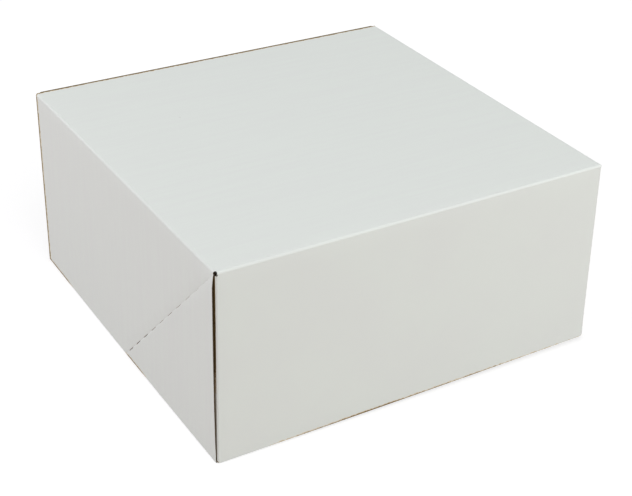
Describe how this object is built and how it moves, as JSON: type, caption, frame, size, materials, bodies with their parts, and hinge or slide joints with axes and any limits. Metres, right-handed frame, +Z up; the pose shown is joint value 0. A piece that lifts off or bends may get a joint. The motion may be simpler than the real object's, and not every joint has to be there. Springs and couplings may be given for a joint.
{
  "type": "cake box",
  "caption": "Square one-piece cake box of thin white board: a glued tray under a back-hinged lid whose front and side flaps cover the tray down to the table.",
  "frame": {"origin": "middle of the closed box's footprint, on the surface that it stands on", "axes": "+Z up; the front faces -Y; the hinge runs along X at the top of the back"},
  "size_m": [0.2586, 0.2576, 0.124],
  "materials": {
    "coated_board": "matte white clay-coated board, plain kraft brown on the inside"
  },
  "bodies": {
    "tray": {"tray": "coated_board"},
    "lid": {"lid": "coated_board"}
  },
  "joints": [
    {"name": "lid_hinge", "type": "hinge", "parent": "tray", "child": "lid", "pos_m": [0, 0.1285, 0.1237], "axis": [-1, 0, 0], "range_deg": [0, 208]}
  ]
}
